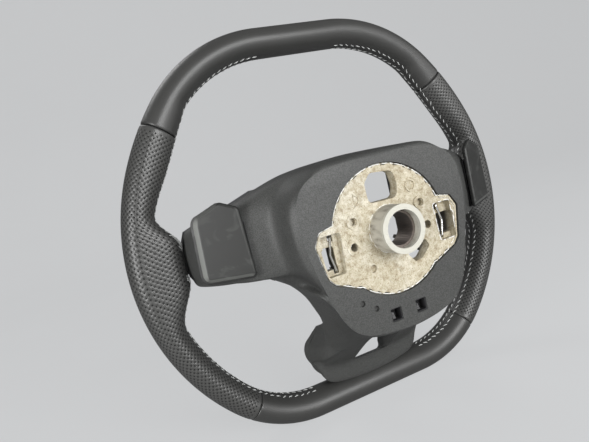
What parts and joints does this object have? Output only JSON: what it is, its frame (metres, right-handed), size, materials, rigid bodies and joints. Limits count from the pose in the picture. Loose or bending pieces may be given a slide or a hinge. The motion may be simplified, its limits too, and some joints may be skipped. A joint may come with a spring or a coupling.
{
  "type": "steering wheel",
  "caption": "Flat-bottomed leather-rimmed car steering wheel without its airbag, with a cast hub, moulded rear cover and gearshift paddles.",
  "frame": {"origin": "on the steering axis, at the sleeve's seat in the hub's boss", "axes": "+Y runs along the steering axis from the driver to the column, +Z to the top of the rim, +X to the driver's right"},
  "size_m": [0.3666, 0.1244, 0.3419],
  "materials": {
    "casting": "die-cast magnesium with a cream passivated, stained skin",
    "sleeve": "grooved steel, dull brown-grey",
    "foam": "moulded polyurethane",
    "smooth_leather": "smooth, satin",
    "perforated_leather": "perforated, satin",
    "cover": "fine grain, satin",
    "trim": "fine grain",
    "clip": "matt",
    "screw": "zinc plated",
    "wire": "bright wire",
    "paddle": "satin",
    "paddle_base": "matt",
    "pin": "ground",
    "switch": "matt",
    "board": "solder resist",
    "button": "soft touch"
  },
  "bodies": {
    "wheel": {"armature": "casting", "column_sleeve": "sleeve", "rim_foam": "foam", "leather_top": "smooth_leather", "leather_bottom": "smooth_leather", "grip_left": "perforated_leather", "grip_right": "perforated_leather", "rear_cover": "cover", "lower_trim": "trim", "spoke_bezel_left": "trim", "spoke_bezel_right": "trim", "cover_clip_left": "clip", "cover_clip_right": "clip", "cover_screws": "screw", "base_screws": "screw", "airbag_spring_left": "wire", "airbag_spring_right": "wire", "paddle_base_left": "paddle_base", "paddle_base_right": "paddle_base", "paddle_pin_left": "pin", "paddle_pin_right": "pin", "paddle_spring_left": "pin", "paddle_spring_right": "pin", "paddle_switch_left": "switch", "paddle_switch_right": "switch", "switch_housing_left": "switch", "switch_housing_right": "switch", "switch_board_left": "board", "switch_board_right": "board"},
    "paddle_left": {"paddle_left": "paddle"},
    "paddle_right": {"paddle_right": "paddle"},
    "upper_button_left": {"upper_button_left": "button"},
    "upper_button_right": {"upper_button_right": "button"},
    "middle_button_left": {"middle_button_left": "button"},
    "middle_button_right": {"middle_button_right": "button"},
    "lower_button_left": {"lower_button_left": "button"},
    "lower_button_right": {"lower_button_right": "button"}
  },
  "joints": [
    {"name": "paddle_left_pivot", "type": "hinge", "parent": "wheel", "child": "paddle_left", "pos_m": [-0.107, -0.043, 0.012], "axis": [0, 0, 1], "range_deg": [0, 4], "stiffness_Nm_per_rad": 1.2, "springref_deg": -2.86},
    {"name": "paddle_right_pivot", "type": "hinge", "parent": "wheel", "child": "paddle_right", "pos_m": [0.107, -0.043, 0.012], "axis": [0, 0, -1], "range_deg": [0, 4], "stiffness_Nm_per_rad": 1.2, "springref_deg": -2.86},
    {"name": "upper_button_left_press", "type": "slide", "parent": "wheel", "child": "upper_button_left", "axis": [0, 1, 0], "range_m": [0, 0.0008], "stiffness_N_per_m": 900, "springref_m": -0.001},
    {"name": "upper_button_right_press", "type": "slide", "parent": "wheel", "child": "upper_button_right", "axis": [0, 1, 0], "range_m": [0, 0.0008], "stiffness_N_per_m": 900, "springref_m": -0.001},
    {"name": "middle_button_left_press", "type": "slide", "parent": "wheel", "child": "middle_button_left", "axis": [0, 1, 0], "range_m": [0, 0.0008], "stiffness_N_per_m": 900, "springref_m": -0.001},
    {"name": "middle_button_right_press", "type": "slide", "parent": "wheel", "child": "middle_button_right", "axis": [0, 1, 0], "range_m": [0, 0.0008], "stiffness_N_per_m": 900, "springref_m": -0.001},
    {"name": "lower_button_left_press", "type": "slide", "parent": "wheel", "child": "lower_button_left", "axis": [0, 1, 0], "range_m": [0, 0.0008], "stiffness_N_per_m": 900, "springref_m": -0.001},
    {"name": "lower_button_right_press", "type": "slide", "parent": "wheel", "child": "lower_button_right", "axis": [0, 1, 0], "range_m": [0, 0.0008], "stiffness_N_per_m": 900, "springref_m": -0.001}
  ]
}
